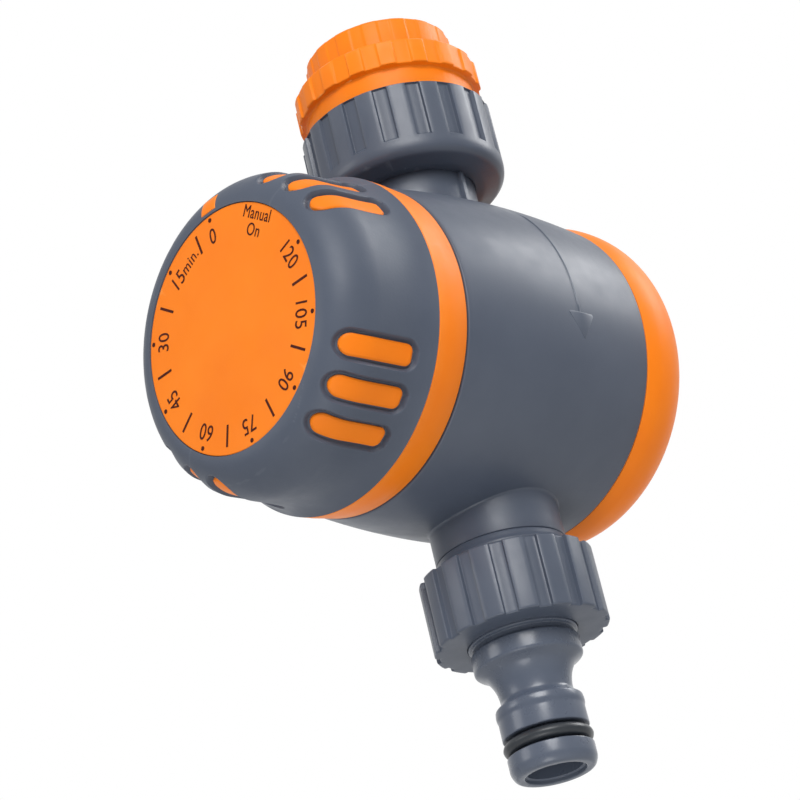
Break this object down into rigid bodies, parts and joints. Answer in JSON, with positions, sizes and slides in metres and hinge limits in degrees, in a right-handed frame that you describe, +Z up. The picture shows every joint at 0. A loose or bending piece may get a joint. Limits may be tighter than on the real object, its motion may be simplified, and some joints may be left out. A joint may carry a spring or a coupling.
{
  "type": "drip irrigation timer",
  "caption": "Clockwork tap timer for drip irrigation: round barrel with a turning time dial, threaded inlet nut with reducers on top and a ribbed nut with a hose spigot below.",
  "frame": {"origin": "centre of the tap mouth, on the top face of the small reducer", "axes": "+Z up along the water's flow axis, out of the tap mouth; +Y from the dial to the rear cap along the barrel's axis; +X to the right as the dial is read"},
  "size_m": [0.0656, 0.0926, 0.1534],
  "materials": {
    "dark_plastic": "moulded, fine satin",
    "orange_plastic": "moulded, satin",
    "gloss_plastic": "moulded, glossy",
    "rubber": "smooth",
    "brass": "stamped and turned",
    "steel": "plain",
    "nylon": "natural, moulded"
  },
  "bodies": {
    "casing": {"valve_housing": "dark_plastic", "rear_cap": "orange_plastic", "rear_cap_seal": "rubber", "front_plate": "brass", "rear_plate": "brass", "plate_pillars": "brass", "plate_screws": "steel", "movement_screws": "steel", "mainspring": "steel", "lever_pin": "steel", "gland_washer": "nylon", "stem_oring": "rubber", "valve_spring": "steel", "bonnet": "nylon", "bonnet_oring": "rubber", "bonnet_screws": "steel", "nut_clip": "steel", "inlet_washer": "rubber", "filter_screen": "nylon"},
    "knob": {"knob_shell": "dark_plastic", "knob_core": "orange_plastic", "main_arbor": "steel", "main_wheel": "brass", "cam_disc": "nylon"},
    "second_train": {"second_arbor": "steel", "second_wheel": "brass"},
    "third_train": {"third_arbor": "steel", "third_wheel": "brass"},
    "escape_train": {"escape_arbor": "steel", "escape_wheel": "brass"},
    "rocker": {"pallet_rocker": "nylon", "rocker_arbor": "steel"},
    "lever": {"valve_lever": "nylon"},
    "valve": {"valve_stem": "nylon", "valve_head": "nylon", "valve_disc": "rubber"},
    "swivel_nut": {"inlet_nut": "dark_plastic"},
    "large_adapter": {"large_reducer": "orange_plastic", "reducer_washer": "rubber"},
    "small_adapter": {"small_reducer": "orange_plastic", "tap_washer": "rubber"},
    "spigot": {"outlet_spigot": "gloss_plastic", "spigot_oring": "rubber", "outlet_washer": "rubber"},
    "coupling_nut": {"outlet_nut": "dark_plastic"}
  },
  "joints": [
    {"name": "knob_turn", "type": "hinge", "parent": "casing", "child": "knob", "pos_m": [0, -0.04, -0.072], "axis": [0, 1, 0], "range_deg": [-36, 288], "deforming": ["mainspring"]},
    {"name": "second_arbor_turn", "type": "hinge", "parent": "casing", "child": "second_train", "pos_m": [0, -0.033, -0.0595], "axis": [0, 1, 0], "range_deg": [-1152, 144]},
    {"name": "third_arbor_turn", "type": "hinge", "parent": "casing", "child": "third_train", "pos_m": [0.00816, -0.033, -0.0633], "axis": [0, 1, 0], "range_deg": [-576, 4608]},
    {"name": "escape_arbor_turn", "type": "hinge", "parent": "casing", "child": "escape_train", "pos_m": [0.01216, -0.033, -0.07023], "axis": [0, 1, 0], "range_deg": [-18432, 2304]},
    {"name": "rocker_swing", "type": "hinge", "parent": "casing", "child": "rocker", "pos_m": [0.01496, -0.03, -0.07794], "axis": [0, 1, 0], "range_deg": [-3, 3]},
    {"name": "lever_swing", "type": "hinge", "parent": "casing", "child": "lever", "pos_m": [0, -0.0195, -0.086], "axis": [-1, 0, 0], "range_deg": [0, 13.91]},
    {"name": "stem_slide", "type": "slide", "parent": "casing", "child": "valve", "axis": [0, 1, 0], "range_m": [0, 0.0034], "stiffness_N_per_m": 300, "deforming": ["valve_spring"]},
    {"name": "inlet_nut_turn", "type": "hinge", "parent": "casing", "child": "swivel_nut", "pos_m": [0, 0, -0.028], "axis": [0, 0, 1], "range_deg": [-1440, 0]},
    {"name": "large_reducer_unscrew", "type": "slide", "parent": "casing", "child": "large_adapter", "axis": [0, 0, 1], "range_m": [0, 0.0093]},
    {"name": "small_reducer_lift", "type": "slide", "parent": "large_adapter", "child": "small_adapter", "axis": [0, 0, 1], "range_m": [0, 0.0125]},
    {"name": "spigot_drop", "type": "slide", "parent": "casing", "child": "spigot", "axis": [0, 0, 1], "range_m": [-0.0073, 0]},
    {"name": "outlet_nut_turn", "type": "hinge", "parent": "spigot", "child": "coupling_nut", "pos_m": [0, 0, -0.12], "axis": [0, 0, 1], "range_deg": [-1440, 0]}
  ],
  "couplings": [
    {"joint": "second_arbor_turn", "follows": "knob_turn", "ratio": -4},
    {"joint": "third_arbor_turn", "follows": "knob_turn", "ratio": 16},
    {"joint": "escape_arbor_turn", "follows": "knob_turn", "ratio": -64},
    {"joint": "lever_swing", "follows": "stem_slide", "rad_per_m": 71.429},
    {"joint": "large_reducer_unscrew", "follows": "inlet_nut_turn", "m_per_rad": -0.00036749},
    {"joint": "spigot_drop", "follows": "outlet_nut_turn", "m_per_rad": 0.00028871}
  ]
}
